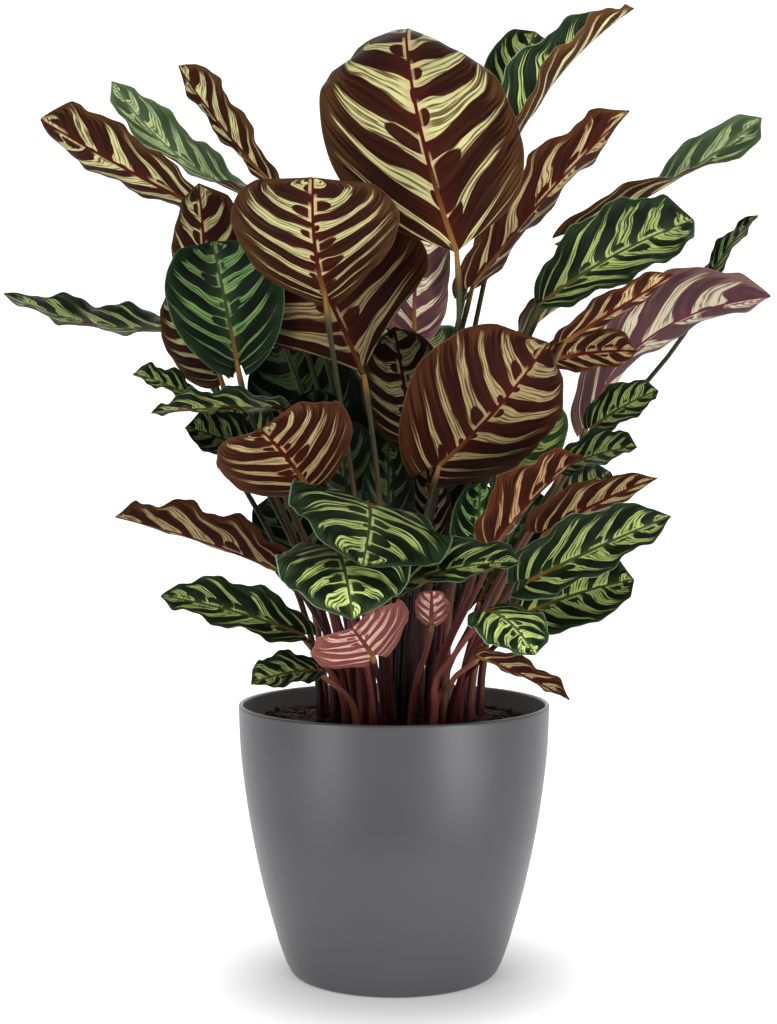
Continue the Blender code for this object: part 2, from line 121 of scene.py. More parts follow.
LEAVES = (
    # Crown and upper middle
    leaf("crown", (40, -108, 496), (5, -72, 681), (0.0, 0.95, 0.25), 139, belly=0.46, heart=-0.05,
         slant=0.22, arch=-0.05, sweep=0.04, hook=0.22, tuck=0.11, curl=0.5, wave=4.5, bow=(4, 8, 0),
         veins=5.6, tone=1.12),
    leaf("upper_left", (-45, -104, 469), (-50, -165, 536), (0.0, 0.66, 0.75), 116, belly=0.55,
         heart=0.16, arch=-0.06, sweep=0.03, curl=0.5, veins=5.6),
    leaf("behind_left", (-20, -78, 418), (-76, -46, 530), (0.1, 0.9, 0.3), 148, belly=0.58,
         heart=-0.35, slant=0.15, curl=0.4, veins=5.0, under="cocoa", tone=0.5),
    leaf("mid_silver", (14, -6, 452), (22, 30, 548), (-0.3, 0.95, 0.1), 62, belly=0.5, curl=0.3,
         veins=4.0, under="plum", tone=2.9),
    leaf("centre_right", (30, -78, 359), (101, -95, 440), (-0.35, 0.85, 0.35), 118, belly=0.5,
         heart=0.2, curl=0.35, arch=-0.06, veins=5.6, under="cocoa", tone=0.72),
    leaf("centre_back", (12, -38, 380), (0, -26, 455), (0.0, 0.95, 0.3), 64, curl=0.3, tone=0.55),
    # Upper right
    leaf("right_top", (88, 30, 594), (178, 60, 695), (-0.65, -0.35, 0.65), 84, belly=0.36, curl=1.0,
         waves=3.0, wave=3.0, bow=(6, 34, 0), tone=1.85),
    leaf("back_high", (80, 86, 615), (107, 90, 685), (0.05, -0.95, 0.3), 54, belly=0.5, heart=0.14),
    leaf("right_wavy", (56, 10, 486), (174, 50, 619), (-0.6, 0.6, 0.5), 60, arch=0.03, curl=0.6,
         wave=4.0, waves=3.5, veins=4.5, under="cocoa", tone=1.35),
    leaf("right_long", (130, 30, 526), (277, 80, 619), (0.0, 0.61, 0.79), 44, belly=0.5, arch=-0.04,
         curl=0.4, twist=3.0, wave=2.5, waves=3.5, upper="silver", veins=5.0),
    leaf("right_green", (103, -34, 471), (206, -40, 526), (-0.2, -0.75, 0.6), 74, belly=0.56, wave=3.0,
         waves=3.5, heart=0.06),
    leaf("right_outer", (236, 78, 494), (277, 96, 548), (-0.5, -0.4, 0.7), 24, wave=2.0,
         bow=(-6, 40, 0)),
    leaf("right_purple", (137, 2, 388), (274, 24, 480), (-0.4, 0.62, 0.62), 78, belly=0.5, arch=0.2,
         curl=0.6, wave=3.5, waves=3.0, bow=(0, 16, 0), veins=4.0, under="plum", tone=1.05),
    leaf("right_narrow", (112, -84, 440), (184, -86, 485), (-0.3, 0.8, 0.5), 26, arch=0.0, curl=0.9,
         wave=2.5, bow=(-6, 25, 0), under="cocoa", veins=4.0),
    leaf("right_oval", (106, -56, 430), (162, -72, 435), (0.0, 0.8, 0.6), 37, curl=0.3,
         bow=(-4, 16, 0), veins=4.5, under="cocoa"),
    # Right, middle and low
    leaf("right_lime", (76, -16, 344), (114, -18, 405), (0.3, -0.85, 0.4), 46, upper="lime",
         veins=4.5, tone=0.9),
    leaf("right_shade_a", (137, -26, 384), (182, -36, 410), (0.0, -0.7, 0.7), 38),
    leaf("right_shade_b", (116, -43, 356), (164, -61, 371), (0.1, -0.6, 0.8), 44, tone=0.7),
    leaf("right_inner", (116, -4, 318), (154, 0, 354), (0.2, -0.8, 0.5), 44, tone=0.5),
    leaf("under_centre", (55, -54, 290), (58, -56, 348), (0.1, -0.98, 0.1), 42, upper="emerald",
         tone=2.1),
    leaf("maroon_upright", (27, -34, 308), (23, -28, 360), (0.0, 0.98, 0.1), 32, curl=0.6, tone=0.5),
    leaf("orange", (66, -95, 306), (126, -78, 366), (-0.5, 0.6, 0.5), 56, belly=0.4, curl=0.8,
         twist=0.6, wave=3.0, veins=4.0, under="rust"),
    leaf("brown_tail", (98, -89, 313), (172, -102, 351), (-0.2, 0.85, 0.5), 38, belly=0.25,
         curl=0.6, wave=2.0, under="cocoa", veins=4.5, tone=0.8),
    leaf("right_lobed", (88, -108, 284), (177, -128, 327), (0.1, -0.7, 0.7), 54, belly=0.38,
         arch=0.02, wave=3.5, waves=3.0, heart=0.16),
    leaf("right_low", (84, -92, 260), (158, -96, 284), (0.1, -0.75, 0.65), 64, tone=1.25),
    leaf("drape", (58, -136, 267), (86, -172, 242), (0.2, -0.6, 0.75), 50, curl=-0.3, arch=0.12,
         tone=1.9),
    leaf("brown_low", (55, -114, 235), (111, -142, 211), (0.3, 0.55, 0.7), 26, curl=0.5, arch=0.03,
         under="cocoa", veins=4.0, tone=0.9),
    # Front, low
    leaf("front_flat", (-2, -114, 279), (80, -148, 298), (0.1, -0.55, 0.83), 50, wave=2.5),
    leaf("front_upper", (-18, -92, 334), (-20, -184, 297), (0.34, -0.38, 0.86), 108, belly=0.48,
         heart=0.16, arch=0.1, curl=-0.2, wave=3.5),
    leaf("front_lower", (-38, -112, 305), (-25, -196, 266), (0.05, -0.5, 0.88), 84, heart=0.16,
         arch=0.1, curl=-0.15, wave=3.0, tone=1.75),
    leaf("pink", (-14, -122, 237), (-27, -152, 258), (-0.36, 0.63, 0.68), 72, belly=0.4, heart=0.24,
         curl=0.35, under="rose", veins=5.0, tone=0.94),
    leaf("pink_small", (24, -104, 256), (24, -110, 278), (0.1, 0.98, 0.1), 24, curl=0.4, under="rose",
         veins=4.0),
    # Left, low and middle
    leaf("left_gutter", (-69, -62, 284), (-191, -52, 324), (0.2, 0.5, 0.85), 54, arch=0.03, curl=0.9,
         wave=4.0, waves=3.5, under="cocoa", tone=0.64),
    leaf("left_low", (-61, -82, 246), (-155, -92, 273), (0.05, -0.6, 0.8), 48, arch=0.04, wave=3.0,
         waves=3.0),
    leaf("left_lowest", (-50, -95, 224), (-93, -117, 218), (0.0, -0.6, 0.8), 34, tone=0.7),
    leaf("left_fan", (-57, -100, 346), (-84, -148, 382), (-0.24, 0.65, 0.71), 98, belly=0.42,
         heart=0.14, curl=0.4, under="cocoa", tone=0.92),
    leaf("left_mid_a", (-92, -62, 364), (-140, -72, 384), (-0.2, -0.7, 0.7), 44, curl=0.3, tone=0.7),
    leaf("left_mid_b", (-92, -16, 371), (-121, -20, 401), (-0.2, -0.8, 0.5), 44, tone=0.5),
    leaf("left_long", (-77, -74, 396), (-161, -88, 393), (0.0, -0.35, 0.95), 46, arch=0.02, wave=3.0,
         waves=3.0),
    leaf("left_outer", (-137, -24, 402), (-180, -36, 421), (0.0, -0.5, 0.85), 34, wave=2.5),
    # Left, upper
    leaf("left_green", (-107, -50, 430), (-126, -24, 514), (0.1, -0.95, 0.3), 84, belly=0.5,
         heart=0.14, upper="emerald", tone=0.85, veins=5.5),
    leaf("left_under", (-122, -13, 422), (-159, -4, 482), (0.1, 0.95, 0.3), 60, curl=0.3, tone=0.6),
    leaf("left_dark", (-135, 2, 456), (-139, 12, 560), (0.3, 0.9, 0.2), 64, belly=0.5, curl=0.4,
         tone=0.8),
    leaf("left_spear", (-119, 24, 533), (-260, 50, 612), (0.2, 0.8, 0.55), 52, belly=0.72, heart=0.0,
         arch=-0.02, curl=0.7, wave=3.5, waves=3.5, tone=1.2),
    leaf("left_silver", (-112, 70, 560), (-215, 100, 651), (0.5, -0.5, 0.6), 46, arch=-0.09, curl=0.5,
         twist=-0.8, wave=3.5, waves=3.0, upper="silver", veins=5.0, tone=1.65),
    leaf("left_top", (-88, 40, 562), (-159, 60, 653), (0.5, 0.6, 0.5), 40, belly=0.64, arch=-0.03,
         curl=0.6, wave=3.0, waves=3.0, tone=1.25),
    leaf("left_level", (-161, 30, 456), (-288, 50, 485), (0.0, -0.38, 0.92), 56, belly=0.38,
         arch=-0.07, wave=3.5, waves=3.0),
    # Inside, upright and shaded, painted dark by a low tone as painted shade
    leaf("inner_left", (-48, -6, 330), (-57, 10, 414), (-0.1, -0.95, 0.25), 58, upper="emerald",
         tone=0.3),
    leaf("inner_front", (-30, -36, 316), (-38, -24, 392), (0.05, -0.97, 0.2), 54, upper="emerald",
         tone=0.3),
    leaf("inner_centre", (-4, -46, 306), (-4, -38, 376), (0.0, -0.97, 0.2), 38, upper="emerald",
         tone=0.3),
    # Back, most of it guessed; the low and fill leaves are painted dark by a low tone, as painted shade that
    # also darkens the gaps between the stalks
    leaf("back_middle", (4, 116, 392), (14, 206, 472), (0.0, -0.65, 0.75), 108, heart=0.16),
    leaf("back_right", (82, 96, 410), (146, 158, 490), (0.45, 0.5, 0.7), 90, arch=0.12, wave=3.0,
         heart=0.14),
    leaf("back_left", (-78, 98, 388), (-148, 166, 446), (-0.4, 0.5, 0.75), 92, arch=0.12, wave=3.0,
         heart=0.14),
    leaf("back_low", (12, 94, 228), (32, 146, 316), (0.0, -0.85, 0.5), 84, belly=0.5, wave=3.0,
         upper="emerald", tone=0.4),
    leaf("back_low_left", (-48, 88, 256), (-98, 128, 334), (0.1, -0.85, 0.5), 66, belly=0.5,
         upper="emerald", tone=0.4),
    leaf("back_low_right", (64, 66, 256), (112, 96, 338), (-0.1, -0.85, 0.5), 76, belly=0.5,
         upper="emerald", tone=0.4),
    leaf("back_fill_left", (-44, 60, 352), (-86, 72, 450), (0.0, -0.95, 0.3), 88, belly=0.5,
         heart=0.14, upper="emerald", tone=0.3),
    leaf("back_fill_right", (24, 66, 322), (30, 84, 436), (0.0, -0.95, 0.3), 88, belly=0.5,
         heart=0.14, upper="emerald", tone=0.3),
)


def unit(vector):
    return vector / np.linalg.norm(vector, axis=-1, keepdims=True)


def midrib(row, u):
    """Points of the midrib at u, with its direction, its upper side and its right side there."""
    length = np.linalg.norm(row.tip - row.base)
    along = unit(row.tip - row.base)
    up = unit(row.face - np.dot(row.face, along) * along)
    side = np.cross(along, up)

    def place(u):
        rise = row.arch * 4.0 * u * (1.0 - u) + row.hook * np.clip((u - 0.55) / 0.45, 0.0, None) ** 2
        drift = row.sweep * 4.0 * u * (1.0 - u)
        ahead = u - row.tuck * np.clip((u - 0.75) / 0.25, 0.0, None) ** 2
        return row.base + length * (ahead[:, None] * along + rise[:, None] * up + drift[:, None] * side)

    step = 1e-4
    run = unit(place(u + step) - place(u - step))
    top = unit(up - (run @ up)[:, None] * run)
    right = np.cross(run, top)
    turn = (row.twist * (u - 0.2))[:, None]
    cosine, sine = np.cos(turn), np.sin(turn)
    return place(u), run, top * cosine + right * sine, right * cosine - top * sine


def half_width(row, u):
    """Half the blade's width at u: broadest at the belly, round at the base, closing to a short point."""
    rise = 1.1 * row.belly
    fall = 1.1 - rise
    close = np.clip((TIP - u) / (0.09 * TIP), 0.0, 1.0) ** 0.55
    return 0.5 * row.width * (u / row.belly) ** rise * ((1.0 - u) / (1.0 - row.belly)) ** fall * close


def vein_place(row, u, reach):
    """Which side vein runs through a point: it leaves the midrib, bends and climbs, less so near the tip."""
    climb = VEIN_CLIMB * (0.45 * reach + 0.55 * reach ** 2)
    left = 0.5 * (climb + np.sqrt(climb ** 2 + 4.0 * (1.0 - u)))
    return row.veins * (1.0 - left ** 2)


def blade(row, u, v):
    """Middle surface of the blade at each u from base to tip and each v from one margin to the other."""
    length = np.linalg.norm(row.tip - row.base)
    centre, run, top, right = midrib(row, u)
    half = half_width(row, u)[:, None]
    reach = np.abs(v)[None, :]
    bend = row.fold + row.curl * reach
    curl = row.curl if abs(row.curl) > 1e-6 else 1e-6
    out = half * (np.sin(bend) - math.sin(row.fold)) / curl * np.sign(v)[None, :]
    lift = half * (math.cos(row.fold) - np.cos(bend)) / curl
    beat = 2.0 * math.pi * row.waves * u[:, None] + row.phase + 1.3 * (v > 0)[None, :]
    full = np.clip(half / (0.3 * row.width), 0.0, 1.0)
    lift = lift + row.wave * np.sin(beat) * reach ** 2 * full
    lift = lift + 0.3 * row.wave * np.sin(2.7 * beat + row.width) * reach ** 3 * full
    between = vein_place(row, u[:, None], reach) + 0.5 * (v > 0)[None, :]
    quilt = QUILT * np.cos(2.0 * math.pi * between) * reach * (1.0 - reach ** 4)
    lift = lift + quilt * full * row.width / 80.0
    ahead = row.slant * half * v[None, :] - row.heart * length * reach ** 2 * (1.0 - u[:, None]) ** 3
    return (centre[:, None] + right[:, None] * out[..., None] + top[:, None] * lift[..., None]
            + run[:, None] * ahead[..., None])


def blade_normal(row, u, v):
    """Which way the upper side faces at each point of the blade."""
    step = 1e-3
    along = blade(row, u + step, v) - blade(row, u - step, v)
    left = blade(row, u, v - step)
    across = blade(row, u, v + step) - left
    return unit(np.cross(across, along))


def inside_radius(height):
    """Radius of the pot's inner wall at a height: straight between the heights in POT_INSIDE."""
    outside = (POT_OUTSIDE + POT_HEEL)[::-1]
    walls = np.interp(POT_INSIDE, [z for _, z in outside], [r for r, _ in outside]) - POT_WALL
    return float(np.interp(height, POT_INSIDE, walls))


def soil_height(spots):
    """Height of the mix's dome at a spot."""
    reach = np.linalg.norm(spots, axis=-1) / inside_radius(SOIL_EDGE)
    return SOIL_CROWN - (SOIL_CROWN - SOIL_EDGE) * reach ** 2


def roots():
    """Where each stalk leaves the mix: on its blade's side, low leaves outermost, pushed evenly apart."""
    bases = np.array([row.base for row in LEAVES])
    share = np.interp(bases[:, 2], (LOWEST_BLADE, HIGHEST_BLADE), (ROOT_SHARE_LOW, ROOT_SHARE_HIGH))
    spots = bases[:, :2] * share[:, None]
    for _ in range(200):
        apart = spots[:, None] - spots[None, :]
        gap = np.linalg.norm(apart, axis=2) + np.eye(len(spots)) * 1e3
        push = np.clip(ROOT_SPACING - gap, 0.0, None) / gap * 0.3
        spots = spots + (apart * push[..., None]).sum(axis=1)
        reach = np.linalg.norm(spots, axis=1, keepdims=True)
        spots = spots * np.minimum(1.0, ROOT_AREA / reach)
    return spots


def stalks(steps=28, rounds=60):
    """A curve for each stalk, from the mix to the blade, leaning clear of the other stalks."""
    spots = roots()
    t = np.linspace(0.0, 1.0, steps + 1)[:, None]
    paths = []
    for row, spot in zip(LEAVES, spots):
        foot = np.array([spot[0], spot[1], soil_height(spot)])
        _, run, _, _ = midrib(row, np.array([0.01]))
        end = unit(run[0] * row.lean + np.array([0.0, 0.0, 1.0]) * (1.0 - row.lean)
                   + 0.4 * unit(row.base - foot))
        span = np.linalg.norm(row.base - foot)
        first = foot + np.array([0.0, 0.0, STALK_RISE * span])
        last = row.base - end * STALK_ENTRY * span
        path = ((1 - t) ** 3 * foot + 3 * (1 - t) ** 2 * t * first + 3 * (1 - t) * t ** 2 * last
                + t ** 3 * row.base)
        paths.append(path + np.sin(math.pi * t) ** 2 * np.array(row.bow))
    paths = np.array(paths)
    owner = np.repeat(np.arange(len(paths)), steps + 1)
    ease = np.tile(np.sin(math.pi * t[:, 0]) ** 0.5, len(paths))
    for _ in range(rounds):
        points = paths.reshape(-1, 3)
        size = (points ** 2).sum(axis=1)
        spread = size[:, None] + size[None, :] - 2.0 * points @ points.T
        one, other = np.nonzero(spread < STALK_SPACING ** 2)
        pairs = owner[one] != owner[other]
        one, other = one[pairs], other[pairs]
        apart = points[one] - points[other]
        gap = np.linalg.norm(apart, axis=1, keepdims=True) + 1e-3
        move = np.zeros_like(points)
        np.add.at(move, one, apart / gap * (STALK_SPACING - gap) * STALK_EASE)
        move = (move * ease[:, None]).reshape(paths.shape)
        move[:, 1:-1] = 0.25 * move[:, :-2] + 0.5 * move[:, 1:-1] + 0.25 * move[:, 2:]
        paths = paths + move
    return paths


def path_at(path, t):
    """Points of a stalk's curve at t, with their directions."""
    place = np.clip(t, 0.0, 1.0) * (len(path) - 1)
    low = np.minimum(place.astype(int), len(path) - 2)
    part = (place - low)[:, None]
    points = path[low] * (1 - part) + path[low + 1] * part
    slope = np.gradient(path, axis=0)
    return points, unit(slope[low] * (1 - part) + slope[low + 1] * part)


def stalk_radius(t):
    """Thick and sheathed where it leaves the mix, slender above, with a swollen joint below the blade."""
    slender = STALK_FOOT + (STALK_NECK - STALK_FOOT) * np.clip(t, 0.0, 1.0)
    sheath = 0.9 * np.clip(1.0 - t / 0.3, 0.0, 1.0) ** 1.5
    joint = 0.5 * np.exp(-((t - 0.93) / 0.035) ** 2)
    return slender + sheath + joint


def leaf_rings(row, path, across, along, stalk_steps):
    """Rings of points round the stalk and then the blade, the upper side first and the underside back."""
    count = 2 * len(across)
    angle = np.radians(180.0 - 180.0 / count - 360.0 / count * np.arange(count))
    u = np.concatenate(([0.001], along))
    centre, run, top, right = midrib(row, u)

    t = np.linspace(0.0, 1.0, stalk_steps + 1)[:-1]
    points, slopes = path_at(path, t)
    up = top[0]
    tops = []
    for slope in slopes[::-1]:
        up = unit(up - np.dot(up, slope) * slope)
        tops.append(up)
    tops = np.array(tops[::-1])
    foot = points[0] - np.array([0.0, 0.0, STALK_DEPTH])
    points = np.vstack((foot, points, centre[:1]))
    slopes = np.vstack(([0.0, 0.0, 1.0], [0.0, 0.0, 1.0], slopes[1:], run[:1]))
    tops = np.vstack((tops[:1], tops, top[:1]))
    tops = unit(tops - (tops * slopes).sum(axis=1, keepdims=True) * slopes)
    sides = np.cross(slopes, tops)
    radius = stalk_radius(np.concatenate(([0.0], t, [1.0])))
    rings = points[:, None] + radius[:, None, None] * (
        np.cos(angle)[None, :, None] * sides[:, None] + np.sin(angle)[None, :, None] * tops[:, None])

    middle = blade(row, u[1:], across)
    normal = blade_normal(row, u[1:], across)
    thin = 0.5 * BLADE_THICK * (1.0 - 0.85 * np.abs(across) ** 10)[None, :, None]
    away = np.abs(across)[None, :] * half_width(row, u[1:])[:, None]
    rib = RIB_HEIGHT * (1.0 - 0.8 * u[1:, None]) * np.exp(-(away / RIB_WIDTH) ** 2)
    upper = middle + (thin - 0.3 * rib[..., None]) * normal
    lower = middle - (thin + rib[..., None]) * normal
    flat = np.concatenate((upper, lower[:, ::-1]), axis=1)
    return np.concatenate((rings, flat), axis=0)


def linear(code):
    """A colour written as an sRGB hex value, as linear light."""
    parts = [int(code[i:i + 2], 16) / 255.0 for i in (1, 3, 5)]
    return (*[c / 12.92 if c <= 0.04045 else ((c + 0.055) / 1.055) ** 2.4 for c in parts], 1.0)


# Settings that many nodes share: a mix of colours, and a range with soft ends
COLOURS = {"output": "Result", "data_type": "RGBA"}
SMOOTH = {"interpolation_type": "SMOOTHSTEP"}


def add(tree, kind, inputs=(), output=0, **settings):
    """Adds one node with its settings, sets or links its inputs, and gives back one of its outputs."""
    node = tree.nodes.new("ShaderNode" + kind)
    for key, value in settings.items():
        setattr(node, key, value)
    for key, value in dict(inputs).items():
        if isinstance(value, bpy.types.NodeSocket):
            tree.links.new(value, node.inputs[key])
        else:
            node.inputs[key].default_value = value
    return node.outputs[output]


def material(name, roughness, **even):
    """A material with its shader, whose even values are set on the shader's own sockets."""
    made = bpy.data.materials.new(name)
    made.use_nodes = True
    shader = made.node_tree.nodes["Principled BSDF"]
    shader.inputs["Roughness"].default_value = roughness
    for key, value in even.items():
        shader.inputs[key.replace("_", " ")].default_value = value
    return made, made.node_tree, shader


# Roughness and specular level of a leaf's two sides
UPPER_GLOSS = (0.42, 0.07)
UNDER_GLOSS = (0.5, 0.03)

# Each skin: ovals, light bands, their rims and feet, margin, thin edge line and midrib
UPPER_SKINS = {
    "deep": ("#0a1006", "#8f9d56", "#a2ac78", "#1b2b17", "#6c8468", "#313f1b"),
    "emerald": ("#070e07", "#5a7840", "#748a5c", "#122412", "#4a6444", "#2c3a1a"),
    "lime": ("#20331b", "#929c50", "#a5aa74", "#384f26", "#96a084", "#5a6430"),
    "silver": ("#2a3824", "#8c9a68", "#a0a684", "#405034", "#8c9a80", "#4a5838"),
}
UNDER_SKINS = {
    "maroon": ("#1f0a07", "#9b9b6b", "#a08663", "#3d2714", "#553e2a", "#380f09"),
    "cocoa": ("#240c09", "#97885f", "#9f7e5a", "#432514", "#5e432e", "#40120a"),
    "rust": ("#220b05", "#9c7e58", "#a27854", "#4a2413", "#704a30", "#4c1a0d"),
    "plum": ("#3a2328", "#9e9880", "#a08a76", "#5a423c", "#7c665c", "#48202a"),
    "rose": ("#5c2f2d", "#b89a8c", "#bb9384", "#6e423c", "#8f685f", "#4e2526"),
}


def blade_pattern(tree, open_bands):
    """How far each point is light band, dark line, margin, edge or midrib, from its place in the leaf."""
    place = add(tree, "Attribute", output="Vector", attribute_name="blade")
    along, across, vein = add(tree, "SeparateXYZ", {0: place}).node.outputs
    # The leaf attribute holds the distance from the midrib, a seed and the leaf's tone, which is partly
    # painted light and shade
    own = add(tree, "Attribute", output="Vector", attribute_name="leaf")
    away, seed, tone = add(tree, "SeparateXYZ", {0: own}).node.outputs
    reach = add(tree, "Math", {0: across}, operation="ABSOLUTE")
    side = add(tree, "Math", {0: across, 1: 0.0}, operation="GREATER_THAN")
    shift = add(tree, "Math", {0: side, 1: 0.5, 2: vein}, operation="MULTIPLY_ADD")
    depth = add(tree, "Math", {0: seed, 1: 37.0, 2: side}, operation="MULTIPLY_ADD")

    # The bands wander and differ in width, and each has a chance value of its own
    beside = add(tree, "Math", {0: shift, 1: 0.6}, operation="MULTIPLY")
    outwards = add(tree, "Math", {0: reach, 1: 1.6}, operation="MULTIPLY")
    loose = add(tree, "CombineXYZ", {0: beside, 1: outwards, 2: depth})
    wander = add(tree, "TexNoise", {"Vector": loose, "Scale": 1.0, "Detail": 1.5})
    wander = add(tree, "Math", {0: wander, 1: 0.5}, operation="SUBTRACT")
    shift = add(tree, "Math", {0: wander, 1: 0.85, 2: shift}, operation="MULTIPLY_ADD")
    cell = add(tree, "Math", {0: shift}, operation="FLOOR")
    key = add(tree, "Math", {0: seed, 1: 613.0}, operation="MULTIPLY")
    key = add(tree, "Math", {0: key}, operation="ROUND")
    key = add(tree, "Math", {0: side, 1: 31.0, 2: key}, operation="MULTIPLY_ADD")
    key = add(tree, "Math", {0: key, 1: cell}, operation="ADD")
    chance = add(tree, "TexWhiteNoise", {"W": key}, noise_dimensions="1D")
    other = add(tree, "TexWhiteNoise", {"W": add(tree, "Math", {0: key, 1: 0.5}, operation="ADD")},
                noise_dimensions="1D")
    inside = add(tree, "Math", {0: shift}, operation="FRACT")
    inside = add(tree, "Math", {0: inside, 1: 0.5}, operation="SUBTRACT")
    centre = add(tree, "Math", {0: inside}, operation="ABSOLUTE")

    # Streaks and hairs run out along the veins
    grains = []
    for dense, outward, detail, roughness in ((9.0, 1.6, 2.5, 0.6), (24.0, 2.5, 1.0, 0.5)):
        beside = add(tree, "Math", {0: shift, 1: dense}, operation="MULTIPLY")
        outwards = add(tree, "Math", {0: reach, 1: outward}, operation="MULTIPLY")
        drawn = add(tree, "CombineXYZ", {0: beside, 1: outwards, 2: depth})
        grains.append(add(tree, "TexNoise", {"Vector": drawn, "Scale": 1.0, "Detail": detail,
                                             "Roughness": roughness}))
    streak, hair = grains
    uneven = add(tree, "Math", {0: streak, 1: 0.5}, operation="SUBTRACT")

    # Half width of the light bands: broad by the midrib, tapering outwards, narrower near the leaf's base
    width = add(tree, "FloatCurve", {"Value": reach})
    curve = width.node.mapping.curves[0]
    curve.points[0].location = (0.0, 0.33)
    curve.points[1].location = (1.0, 0.1)
    for knot in ((0.12, 0.34), (0.3, 0.26), (0.55, 0.22), (0.8, 0.17)):
        curve.points.new(*knot)
    width.node.mapping.update()
    low = add(tree, "MapRange", {"Value": vein, "From Min": -2.5, "From Max": 1.6, "To Min": 0.3})
    luck = add(tree, "MapRange", {"Value": chance, "To Min": 0.68, "To Max": 1.16})
    for share in (low, luck, open_bands):
        width = add(tree, "Math", {0: width, 1: share}, operation="MULTIPLY")
    ragged = add(tree, "Math", {0: uneven, 1: 0.07, 2: centre}, operation="MULTIPLY_ADD")
    within = add(tree, "Math", {0: width, 1: ragged}, operation="SUBTRACT")
    band = add(tree, "MapRange", {"Value": within, "From Min": -0.01, "From Max": 0.014}, **SMOOTH)
    rim = add(tree, "MapRange", {"Value": within, "From Min": 0.09, "From Max": 0.0, "To Max": 0.7})

    # A dark oval by the midrib splits the foot of each band in two thin legs
    length = add(tree, "MapRange", {"Value": other, "From Min": 0.15, "To Min": 0.03, "To Max": 0.32})
    fat = add(tree, "Math", {0: length, 1: 0.45, 2: 0.11}, operation="MULTIPLY_ADD")
    aside = add(tree, "MapRange", {"Value": chance, "To Min": -0.06, "To Max": 0.06})
    far = add(tree, "Math", {0: length, 1: -0.5, 2: reach}, operation="MULTIPLY_ADD")
    long = add(tree, "Math", {0: length, 1: 0.58}, operation="MULTIPLY")
    near = add(tree, "Math", {0: inside, 1: aside}, operation="SUBTRACT")
    spot = 0.0
    for part, size in ((far, long), (near, fat)):
        part = add(tree, "Math", {0: part, 1: size}, operation="DIVIDE")
        spot = add(tree, "Math", {0: part, 1: part, 2: spot}, operation="MULTIPLY_ADD")
    spot = add(tree, "MapRange", {"Value": spot, "From Min": 0.85, "From Max": 1.1}, **SMOOTH)
    band = add(tree, "Math", {0: band, 1: spot}, operation="MULTIPLY")
    leg = add(tree, "MapRange", {"Value": away, "From Min": 3.0, "From Max": 2.3, "To Max": 0.9})
    for value, start, stop in ((inside, 0.46, 0.3), (inside, -0.3, -0.1), (other, 0.3, 0.5),
                               (along, 0.15, 0.4)):
        gate = add(tree, "MapRange", {"Value": value, "From Min": start, "From Max": stop})
        leg = add(tree, "Math", {0: leg, 1: gate}, operation="MULTIPLY")
    band = add(tree, "Math", {0: band, 1: leg}, operation="MAXIMUM")

    # The bands end in streaks of unequal length before the margin
    end = add(tree, "Math", {0: uneven, 1: 1.25, 2: reach}, operation="MULTIPLY_ADD")
    tip_end = add(tree, "MapRange", {"Value": along, "From Min": 0.8, "From Max": 1.0, "To Max": 0.35})
    end = add(tree, "Math", {0: end, 1: tip_end}, operation="ADD")
    fade = add(tree, "MapRange", {"Value": end, "From Min": 0.86, "From Max": 0.66}, **SMOOTH)
    band = add(tree, "Math", {0: band, 1: fade}, operation="MULTIPLY")

    # Fine dark lines run along each band
    comb = add(tree, "Math", {0: uneven, 1: 14.0}, operation="MULTIPLY")
    comb = add(tree, "Math", {0: inside, 1: 44.0, 2: comb}, operation="MULTIPLY_ADD")
    line = add(tree, "MapRange", {"Value": add(tree, "Math", {0: comb}, operation="SINE"),
                                  "From Min": -0.2, "From Max": 0.75}, **SMOOTH)
    for value, start, stop in ((reach, 0.02, 0.13), (hair, 0.25, 0.42)):
        gate = add(tree, "MapRange", {"Value": value, "From Min": start, "From Max": stop})
        line = add(tree, "Math", {0: line, 1: gate}, operation="MULTIPLY")

    # Then come the margin, the thin paler edge and the midrib
    border = add(tree, "MapRange", {"Value": end, "From Min": 0.7, "From Max": 0.98}, **SMOOTH)
    edge = add(tree, "MapRange", {"Value": reach, "From Min": 0.975, "From Max": 0.995, "To Max": 0.8})
    slim = add(tree, "MapRange", {"Value": along, "To Min": 1.5, "To Max": 0.5})
    rib = add(tree, "MapRange", {"Value": add(tree, "Math", {0: away, 1: slim}, operation="SUBTRACT"),
                                 "From Min": 0.35, "From Max": -0.1}, **SMOOTH)
    return SimpleNamespace(band=band, line=line, border=border, edge=edge, rib=rib, streak=streak, hair=hair,
                           reach=reach, along=along, centre=centre, rim=rim, tone=tone)


